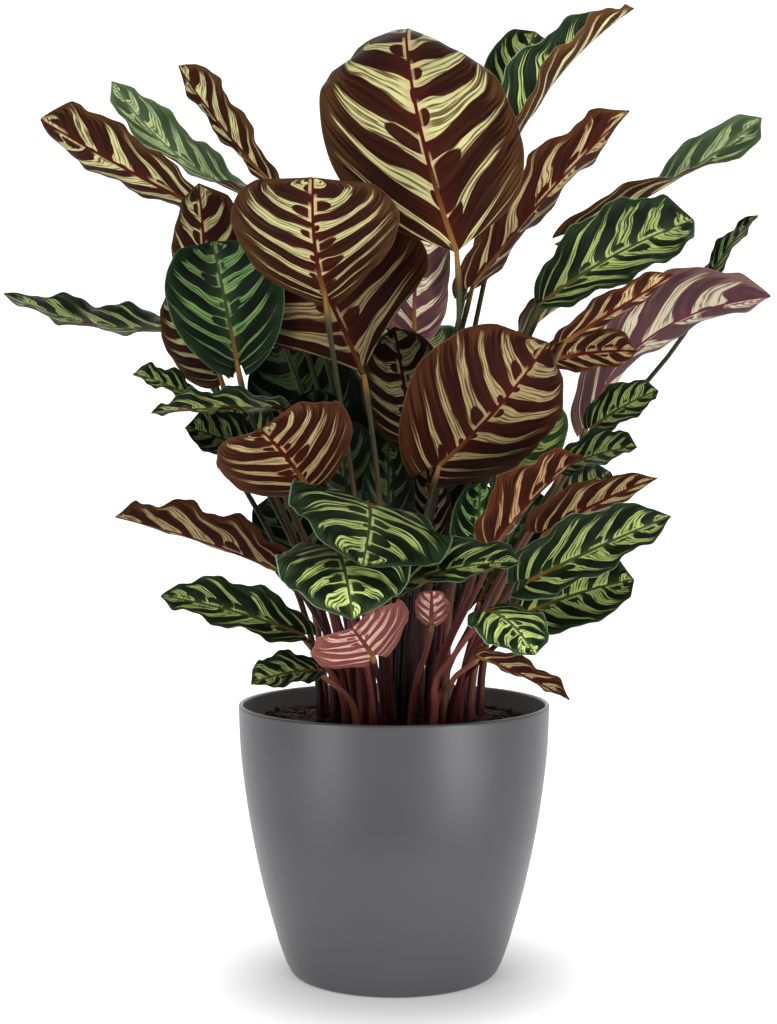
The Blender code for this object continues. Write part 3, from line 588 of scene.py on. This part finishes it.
def leaf_skin(name, colours, roughness, gloss, open_bands, lines):
    """Living leaf skin: light bands between dark ovals, satin above and duller below."""
    oval, light, pale, margin, edge, rib = [linear(code) for code in colours]
    made, tree, shader = material(name, roughness, Specular_IOR_Level=gloss, IOR=1.42)
    p = blade_pattern(tree, open_bands)
    worn = add(tree, "MapRange", {"Value": p.streak, "From Min": 0.4, "From Max": 0.8, "To Max": 0.5})
    ember = add(tree, "MapRange", {"Value": p.reach, "From Min": 0.3, "From Max": 0.0, "To Max": 0.5})
    warm = add(tree, "MapRange", {"Value": p.reach, "From Min": 0.12, "From Max": 0.03, "To Max": 0.6})
    warm = add(tree, "Math", {0: warm, 1: p.rim}, operation="MAXIMUM")
    lined = add(tree, "Math", {0: p.line, 1: lines}, operation="MULTIPLY")
    bands = light
    for share, over in ((warm, pale), (lined, margin)):
        bands = add(tree, "Mix", {"Factor": share, "A": bands, "B": over}, **COLOURS)
    raised = add(tree, "MapRange", {"Value": p.along, "From Min": 0.02, "From Max": 0.3})
    raised = add(tree, "Mix", {"Factor": raised, "A": linear("#644420"), "B": rib}, **COLOURS)
    skin = oval
    for share, over in ((worn, margin), (ember, rib), (p.border, margin), (p.band, bands), (p.edge, edge),
                        (p.rib, raised)):
        skin = add(tree, "Mix", {"Factor": share, "A": skin, "B": over}, **COLOURS)
    patch = add(tree, "TexNoise", {"Vector": add(tree, "TexCoord", output="Object"), "Scale": 26.0,
                                   "Detail": 2.0})
    tone = add(tree, "MapRange", {"Value": patch, "From Min": 0.3, "From Max": 0.7, "To Min": 0.82,
                                  "To Max": 1.12})
    # The leaf's tone multiplies the colour as painted light and shade, on top of its random patches
    tone = add(tree, "Math", {0: tone, 1: p.tone}, operation="MULTIPLY")
    tone = add(tree, "CombineXYZ", {0: tone, 1: tone, 2: tone})
    skin = add(tree, "Mix", {"Factor": 1.0, "A": skin, "B": tone}, **COLOURS,
               blend_type="MULTIPLY")
    tree.links.new(skin, shader.inputs["Base Color"])
    dull = add(tree, "MapRange", {"Value": p.streak, "From Min": 0.3, "From Max": 0.7,
                                  "To Min": roughness - 0.06, "To Max": roughness + 0.08})
    tree.links.new(dull, shader.inputs["Roughness"])
    relief = add(tree, "Math", {0: p.hair, 1: 0.6, 2: p.centre}, operation="MULTIPLY_ADD")
    bump = add(tree, "Bump", {"Height": relief, "Strength": 0.4, "Distance": 0.0006}, output="Normal")
    tree.links.new(bump, shader.inputs["Normal"])
    return made


def stalk_skin():
    """Leaf stalk: maroon and streaked low down, dark olive higher up, with a tan joint below the blade."""
    made, tree, shader = material("calathea_stalk_skin", 0.42, Specular_IOR_Level=0.1)
    own = add(tree, "Attribute", output="Vector", attribute_name="stalk")
    t, turn, seed = add(tree, "SeparateXYZ", {0: own}).node.outputs
    height = add(tree, "SeparateXYZ", {0: add(tree, "TexCoord", output="Object")}, output="Z")
    run = add(tree, "CombineXYZ", {0: add(tree, "Math", {0: turn, 1: 9.0}, operation="MULTIPLY"),
                                   1: add(tree, "Math", {0: height, 1: 14.0}, operation="MULTIPLY"),
                                   2: add(tree, "Math", {0: seed, 1: 23.0}, operation="MULTIPLY")})
    streak = add(tree, "TexNoise", {"Vector": run, "Scale": 1.0, "Detail": 3.0})
    mood = add(tree, "TexWhiteNoise", {"W": seed}, noise_dimensions="1D")
    varied = add(tree, "Math", {0: streak, 1: 0.55}, operation="MULTIPLY")
    mood = add(tree, "Math", {0: mood, 1: 0.5, 2: varied}, operation="MULTIPLY_ADD")
    low = add(tree, "ValToRGB", {"Fac": mood}, output="Color")
    ramp = low.node.color_ramp
    ramp.elements[0].position = 0.2
    ramp.elements[0].color = linear("#0c0302")
    ramp.elements[1].position = 0.82
    ramp.elements[1].color = linear("#544427")
    for position, code in ((0.4, "#1a0705"), (0.55, "#34100f"), (0.68, "#5c2b2a")):
        ramp.elements.new(position).color = linear(code)
    share = add(tree, "MapRange", {"Value": streak, "From Min": 0.35, "From Max": 0.65})
    high = add(tree, "Mix", {"Factor": share, "A": linear("#16170b"), "B": linear("#33341a")}, **COLOURS)
    climb = add(tree, "Math", {0: streak, 1: 0.08, 2: height}, operation="MULTIPLY_ADD")
    climb = add(tree, "MapRange", {"Value": climb, "From Min": 0.29, "From Max": 0.42})
    skin = add(tree, "Mix", {"Factor": climb, "A": low, "B": high}, **COLOURS)
    joint = add(tree, "MapRange", {"Value": t, "From Min": 0.86, "From Max": 0.93}, **SMOOTH)
    skin = add(tree, "Mix", {"Factor": joint, "A": skin, "B": linear("#6a4c22")}, **COLOURS)
    tree.links.new(skin, shader.inputs["Base Color"])
    bump = add(tree, "Bump", {"Height": streak, "Strength": 0.3, "Distance": 0.0005}, output="Normal")
    tree.links.new(bump, shader.inputs["Normal"])
    return made


def moulded_plastic(name, low, high):
    """Injection-moulded polypropylene, satin: very fine grain, slightly uneven gloss, a foot painted paler as
    light thrown up from the floor.
    """
    made, tree, shader = material(name, 0.36, Specular_IOR_Level=0.33, IOR=1.49)
    place = add(tree, "TexCoord", output="Object")
    grain = add(tree, "TexNoise", {"Vector": place, "Scale": 1400.0, "Detail": 2.0})
    cloud = add(tree, "TexNoise", {"Vector": place, "Scale": 18.0, "Detail": 3.0})
    cloudy = add(tree, "MapRange", {"Value": cloud, "From Min": 0.3, "From Max": 0.7})
    height = add(tree, "SeparateXYZ", {0: place}, output="Z")
    # Painted light: towards the foot the grey goes to #4c4c4e, paler than the outer plastic, standing for
    # light that the white floor throws up
    foot = add(tree, "MapRange", {"Value": height, "From Min": 0.12, "From Max": 0.0})
    tone = linear(low)
    for share, over in ((cloudy, linear(high)), (foot, linear("#4c4c4e"))):
        tone = add(tree, "Mix", {"Factor": share, "A": tone, "B": over}, **COLOURS)
    tree.links.new(tone, shader.inputs["Base Color"])
    gloss = add(tree, "MapRange", {"Value": cloud, "From Min": 0.3, "From Max": 0.7, "To Min": 0.33,
                                   "To Max": 0.38})
    tree.links.new(gloss, shader.inputs["Roughness"])
    bump = add(tree, "Bump", {"Height": grain, "Strength": 0.12, "Distance": 0.0002}, output="Normal")
    tree.links.new(bump, shader.inputs["Normal"])
    return made


def peat():
    """Potting mix: crumbly peat, nearly black when moist, with paler dry crumbs."""
    made, tree, shader = material("moist_peat_mix", 0.95, Specular_IOR_Level=0.15)
    place = add(tree, "TexCoord", output="Object")
    crumbs = add(tree, "TexNoise", {"Vector": place, "Scale": 260.0, "Detail": 6.0, "Roughness": 0.7})
    lumps = add(tree, "TexVoronoi", {"Vector": place, "Scale": 190.0}, output="Distance")
    shade = add(tree, "ValToRGB", {"Fac": crumbs}, output="Color")
    ramp = shade.node.color_ramp
    ramp.elements[0].position = 0.32
    ramp.elements[0].color = linear("#170e0a")
    ramp.elements[1].position = 0.72
    ramp.elements[1].color = linear("#5a3f2c")
    ramp.elements.new(0.52).color = linear("#2f1e15")
    tree.links.new(shade, shader.inputs["Base Color"])
    rough = add(tree, "Math", {0: crumbs, 1: 0.6, 2: lumps}, operation="MULTIPLY_ADD")
    bump = add(tree, "Bump", {"Height": rough, "Strength": 0.9, "Distance": 0.002}, output="Normal")
    tree.links.new(bump, shader.inputs["Normal"])
    return made


def bark():
    """Chipped pine bark: each chip its own brown, from near black to red-brown, with a fibrous grain."""
    made, tree, shader = material("chipped_pine_bark", 0.85, Specular_IOR_Level=0.2)
    tone = add(tree, "Attribute", output="Fac", attribute_name="chip")
    shade = add(tree, "ValToRGB", {"Fac": tone}, output="Color")
    ramp = shade.node.color_ramp
    ramp.elements[0].color = linear("#1b110c")
    ramp.elements[1].color = linear("#6e4a31")
    ramp.elements.new(0.45).color = linear("#3c2418")
    ramp.elements.new(0.8).color = linear("#4f2c1b")
    place = add(tree, "TexCoord", output="Object")
    fibres = add(tree, "Mapping", {"Vector": place, "Scale": (1.0, 4.0, 2.0)})
    grain = add(tree, "TexNoise", {"Vector": fibres, "Scale": 420.0, "Detail": 4.0})
    share = add(tree, "MapRange", {"Value": grain, "From Min": 0.4, "From Max": 0.7, "To Max": 0.6})
    dirt = add(tree, "Mix", {"Factor": share, "A": shade, "B": linear("#1d120c")}, **COLOURS)
    tree.links.new(dirt, shader.inputs["Base Color"])
    bump = add(tree, "Bump", {"Height": grain, "Strength": 0.6, "Distance": 0.0008}, output="Normal")
    tree.links.new(bump, shader.inputs["Normal"])
    return made


def finish_piece(name, shape, materials, slot, *nodes):
    """Turns a bmesh into a smooth piece at the origin that rides on the body and replaces its nodes."""
    mesh = bpy.data.meshes.new(name)
    shape.to_mesh(mesh)
    shape.free()
    mesh.shade_smooth()
    piece = bpy.data.objects.new(name, mesh)
    bpy.context.scene.collection.objects.link(piece)
    for made in materials:
        mesh.materials.append(made)
    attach(piece, "root")
    if nodes:
        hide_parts(*nodes)
    return piece


def turned(profile, steps):
    """A bmesh turned round the pot's axis from a profile of radius and height."""
    shape = bmesh.new()
    corners = [shape.verts.new((radius * MM, 0.0, height * MM)) for radius, height in profile]
    edges = [shape.edges.new(pair) for pair in zip(corners, corners[1:])]
    bmesh.ops.spin(shape, geom=corners + edges, cent=(0.0, 0.0, 0.0), axis=(0.0, 0.0, 1.0),
                   angle=2.0 * math.pi, steps=steps, use_merge=True)
    bmesh.ops.remove_doubles(shape, verts=shape.verts, dist=1e-6)
    bmesh.ops.recalc_face_normals(shape, faces=shape.faces)
    return shape


def eased(points, steps):
    """A smooth curve through a list of radius and height, evenly stepped between them."""
    points = np.array(points)
    before = np.vstack((2.0 * points[0] - points[1], points, 2.0 * points[-1] - points[-2]))
    made = []
    for i in range(len(points) - 1):
        a, b, c, d = before[i:i + 4]
        for t in np.linspace(0.0, 1.0, steps, endpoint=False):
            made.append(0.5 * (2.0 * b + (c - a) * t + (2.0 * a - 5.0 * b + 4.0 * c - d) * t ** 2
                               + (3.0 * b - a - 3.0 * c + d) * t ** 3))
    made.append(points[-1])
    return [tuple(point) for point in made]


def make_pot():
    """Outer wall, foot, floor, inner wall and lip as one turned profile, the inner faces a paler grey that is
    painted light on the shaded inner wall.
    """
    outside = [POT_OUTSIDE[0], POT_UNDER_LIP, *eased(POT_OUTSIDE, 4)[1:]]
    wall = [(inside_radius(z), z) for z in (54.0, 86.0, 119.0, 152.0, 180.0, 185.0)]
    floor = ((0.0, POT_FLOOR), (inside_radius(8.0) - 4.0, POT_FLOOR), (inside_radius(8.0), 8.0))
    shape = turned([*outside, *POT_FOOT, *floor, *wall, *POT_LIP, POT_OUTSIDE[0]], POT_STEPS)
    # Faces that look towards the axis take the second material: a paler grey that paints light onto the shaded
    # inner wall
    for face in shape.faces:
        middle = face.calc_center_median()
        face.material_index = int(face.normal.x * middle.x + face.normal.y * middle.y < -0.01)
    plastic = moulded_plastic("satin_moulded_polypropylene", "#38383a", "#3d3d40")
    inner_painted_lighter = moulded_plastic("polypropylene_inner_wall_painted_lighter", "#797572", "#83807d")
    finish_piece("grey_planter", shape, (plastic, inner_painted_lighter), "pot_plastic", "pot")


def make_soil():
    """The mix, its dome raised and dented by noise, closed by a wall and a base in the pot."""
    edge = inside_radius(SOIL_EDGE) - 0.5
    radii = [edge * ring / SOIL_RINGS for ring in range(SOIL_RINGS + 1)]
    dome = [(radius, float(soil_height(np.array([radius, 0.0])))) for radius in radii]
    foot = [(inside_radius(z) - 0.5, z) for z in (119.0, 54.0, 8.4)]
    shape = turned([*dome, *foot, (0.0, 3.5)], SOIL_STEPS)
    for corner in shape.verts:
        x, y, z = corner.co / MM
        reach = math.hypot(x, y)
        if z > 165.0 and reach < edge - 0.5:
            rough = noise.fractal(Vector((x, y, 0.0)) / 16.0, 1.0, 2.0, 3)
            crumb = noise.noise(Vector((x, y, 7.0)) / 3.2)
            corner.co.z += (2.4 * rough + 0.9 * crumb) * MM
    finish_piece("crumbly_potting_mix", shape, (peat(),), "potting_mix", "potting_mix")


def make_chips(seed):
    """Bark chips and crumbs on the mix: flattened lumps with broken corners, each its own brown."""
    draw = random.Random(seed)
    shape = bmesh.new()
    tone = shape.verts.layers.float.new("chip")
    area = inside_radius(SOIL_EDGE) - 5.0
    for _ in range(CHIPS):
        reach = area * math.sqrt(draw.random())
        turn = draw.uniform(0.0, 2.0 * math.pi)
        spot = np.array([reach * math.cos(turn), reach * math.sin(turn)])
        size = draw.choice(CHIP_SIZES)
        made = bmesh.ops.create_icosphere(shape, subdivisions=1, radius=1.0)
        stretch = Vector([size * draw.uniform(*span) for span in CHIP_SHAPE])
        tilt = Matrix.Rotation(draw.uniform(-0.5, 0.5), 3, "X")
        tilt = tilt @ Matrix.Rotation(draw.uniform(-0.5, 0.5), 3, "Y")
        facing = Matrix.Rotation(draw.uniform(0.0, math.pi), 3, "Z") @ tilt
        height = float(soil_height(spot)) + 0.5 * stretch.z + draw.uniform(0.0, 1.8)
        centre = Vector((spot[0], spot[1], height))
        brown = draw.random() ** 1.4
        for corner in made["verts"]:
            broken = Vector([draw.uniform(0.7, 1.15) for _ in range(3)])
            local = Vector((corner.co.x * broken.x * stretch.x, corner.co.y * broken.y * stretch.y,
                            corner.co.z * broken.z * stretch.z))
            corner.co = (centre + facing @ local) * MM
            corner[tone] = brown
    finish_piece("bark_chips", shape, (bark(),), "potting_mix").data.shade_flat()


def make_leaf(index, row, path, skins):
    """One leaf as a closed sheet of points rolled round its stalk and blade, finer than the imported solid."""
    s = np.linspace(-1.0, 1.0, ACROSS_STEPS + 1)
    across = np.sign(s) * np.abs(s) ** 1.35
    share = np.linspace(0.0, 1.0, ALONG_STEPS)
    along = 0.004 + (TIP - 0.0045) * (0.55 * share + 0.45 * 0.5 * (1.0 - np.cos(math.pi * share)))
    rings = leaf_rings(row, path, across, along, STALK_STEPS)
    last, around = rings.shape[0] - 1, rings.shape[1]
    first = STALK_STEPS + 2
    u = np.concatenate((np.zeros(first), along))
    v = np.concatenate((across, across[::-1]))
    seed = math.modf(0.618 * (index + 1))[0]
    shape = bmesh.new()
    blade_layer = shape.verts.layers.float_vector.new("blade")
    leaf_layer = shape.verts.layers.float_vector.new("leaf")
    stalk_layer = shape.verts.layers.float_vector.new("stalk")
    bmesh.ops.create_grid(shape, x_segments=around, y_segments=last, size=1.0)
    half = half_width(row, np.maximum(u, 1e-4))
    veins = vein_place(row, u[:, None], np.abs(v)[None, :])
    for corner in shape.verts:
        k = round((corner.co.x + 1.0) / 2.0 * around) % around
        j = round((corner.co.y + 1.0) / 2.0 * last)
        corner.co = rings[j, k] * MM
        corner[blade_layer] = (u[j], v[k], veins[j, k])
        # The leaf's tone goes into its attribute: partly painted light and shade
        corner[leaf_layer] = (abs(v[k]) * half[j], seed, row.tone)
        climbed = min(1.0, max(0.0, (j - 1) / (STALK_STEPS + 1.0)))
        corner[stalk_layer] = (climbed, abs(2.0 * k / around - 1.0), seed)
    for number, face in enumerate(shape.faces):
        k, j = number % around, number // around
        face.material_index = 2 if j < first - 1 else (0 if k < around // 2 else 1)
    bmesh.ops.remove_doubles(shape, verts=shape.verts, dist=1e-7)
    bmesh.ops.holes_fill(shape, edges=shape.edges, sides=around)
    bmesh.ops.recalc_face_normals(shape, faces=shape.faces)
    materials = (skins["upper", row.upper], skins["under", row.under], skins["stalk"])
    finish_piece(row.name + "_leaf", shape, materials, "leaf", "leaf_" + row.name)


def area_light(name, place, target, size, power):
    """A rectangular soft box, in metres and watts, turned to its target."""
    data = bpy.data.lights.new(name, "AREA")
    data.shape = "RECTANGLE"
    data.size, data.size_y = size
    data.energy = power
    light = bpy.data.objects.new(name, data)
    light.location = place
    light.rotation_euler = (Vector(target) - Vector(place)).to_track_quat("-Z", "Y").to_euler()
    bpy.context.scene.collection.objects.link(light)


def white_paper():
    """Matt white background paper that glows, less so close to the pot, as a painted soft shadow."""
    paper, tree, shader = material("matt_white_paper", 0.9, Specular_IOR_Level=0.0)
    shader.inputs["Base Color"].default_value = linear("#a4a4a4")
    shader.inputs["Emission Color"].default_value = linear("#ffffff")
    place = add(tree, "TexCoord", output="Object")
    across = add(tree, "VectorMath", {0: place, 1: (0.0, -0.02, 0.0)}, operation="DISTANCE", output="Value")
    # Painted soft shadow: the glow is weakest close to the pot, centred a little in front of it, and rises
    # outwards
    glow = add(tree, "MapRange", {"Value": across, "From Min": GLOW_REACH[0], "From Max": GLOW_REACH[1],
                                  "To Min": FLOOR_GLOW[0], "To Max": FLOOR_GLOW[1]}, **SMOOTH)
    parts = add(tree, "SeparateXYZ", {0: place}).node.outputs
    side = add(tree, "Math", {0: parts[0]}, operation="ABSOLUTE")

    # Two wedges of light on the floor in front, left and right, that the pot mirrors as its soft bands
    mirrored = add(tree, "CombineXYZ", {0: side, 1: parts[1]})
    out, aside = [add(tree, "VectorMath", {0: mirrored, 1: way}, operation="DOT_PRODUCT", output="Value")
                  for way in ((0.72, -0.69, 0.0), (0.69, 0.72, 0.0))]
    aside = add(tree, "Math", {0: aside}, operation="ABSOLUTE")
    aside = add(tree, "Math", {0: aside, 1: out}, operation="DIVIDE")
    wedge = add(tree, "MapRange", {"Value": aside, "From Min": 0.5, "From Max": 0.1}, **SMOOTH)
    for near, far in ((0.3, 0.5), (1.3, 1.1)):
        window = add(tree, "MapRange", {"Value": out, "From Min": near, "From Max": far})
        wedge = add(tree, "Math", {0: wedge, 1: window}, operation="MULTIPLY")
    stronger = add(tree, "MapRange", {"Value": parts[0], "From Min": -0.1, "From Max": 0.1,
                                      "To Min": WEDGES[0], "To Max": WEDGES[1]})
    glow = add(tree, "Math", {0: wedge, 1: stronger, 2: glow}, operation="MULTIPLY_ADD")
    tree.links.new(glow, shader.inputs["Emission Strength"])
    return paper


def make_studio():
    """A white sweep, a surround that greys upwards, soft boxes in front and above, a weak one behind."""
    shape = bmesh.new()
    bmesh.ops.create_grid(shape, x_segments=1, y_segments=1, size=PAPER_SIZE)
    back = [edge for edge in shape.edges if all(corner.co.y > 0.0 for corner in edge.verts)]
    raised = bmesh.ops.extrude_edge_only(shape, edges=back)["geom"]
    bmesh.ops.translate(shape, verts=[item for item in raised if isinstance(item, bmesh.types.BMVert)],
                        vec=(0.0, 0.0, PAPER_HEIGHT))
    bmesh.ops.recalc_face_normals(shape, faces=shape.faces)
    mesh = bpy.data.meshes.new("studio_floor")
    shape.to_mesh(mesh)
    shape.free()
    mesh.materials.append(white_paper())
    floor = bpy.data.objects.new("studio_floor", mesh)
    bpy.context.scene.collection.objects.link(floor)
    world = bpy.data.worlds.new("studio_surround")
    bpy.context.scene.world = world
    world.use_nodes = True
    tree = world.node_tree
    surround = tree.nodes["Background"]
    height = add(tree, "SeparateXYZ", {0: add(tree, "TexCoord", output="Generated")}, output="Z")
    paler = add(tree, "MapRange", {"Value": height, "From Min": 0.3, "From Max": 0.02, "To Min": SURROUND,
                                   "To Max": 1.0}, **SMOOTH)
    surround.inputs["Color"].default_value = linear("#ffffff")
    tree.links.new(paler, surround.inputs["Strength"])
    area_light("left_soft_box", (-1.5, -1.35, 0.3), (0.0, 0.0, 0.25), (0.65, 0.6), 15.0)
    area_light("right_soft_box", (1.4, -1.5, 0.3), (0.0, 0.0, 0.25), (0.65, 0.6), 19.5)
    area_light("back_soft_box", (0.3, 2.4, 3.0), (0.0, 0.0, 0.4), (2.0, 2.0), 30.0)
    area_light("top_soft_box", (-0.2, -1.0, 1.9), (0.0, 0.0, 0.4), (1.2, 1.2), 25.0)
    bpy.context.scene.view_settings.view_transform = "Standard"


def make_camera():
    """At the photograph's place: 1.25 m in front of the pot, 364 mm up, looking very slightly down."""
    data = bpy.data.cameras.new("camera")
    data.lens = 62.1
    data.sensor_width = 36.0
    camera = bpy.data.objects.new("camera", data)
    camera.location = (-0.0039, -1.25, 0.364)
    camera.rotation_euler = (math.radians(88.22), 0.0, 0.0)
    bpy.context.scene.collection.objects.link(camera)
    bpy.context.scene.camera = camera


make_camera()
make_studio()
make_pot()
make_soil()
make_chips(seed=5)
skins = {"stalk": stalk_skin()}
for key, colours in UPPER_SKINS.items():
    skins["upper", key] = leaf_skin("calathea_upper_" + key, colours, *UPPER_GLOSS,
                                    0.86 if key == "emerald" else 1.08, 1.0)
for key, colours in UNDER_SKINS.items():
    skins["under", key] = leaf_skin("calathea_underside_" + key, colours, *UNDER_GLOSS, 0.94, 0.9)
for index, (row, path) in enumerate(zip(LEAVES, stalks())):
    make_leaf(index, row, path, skins)
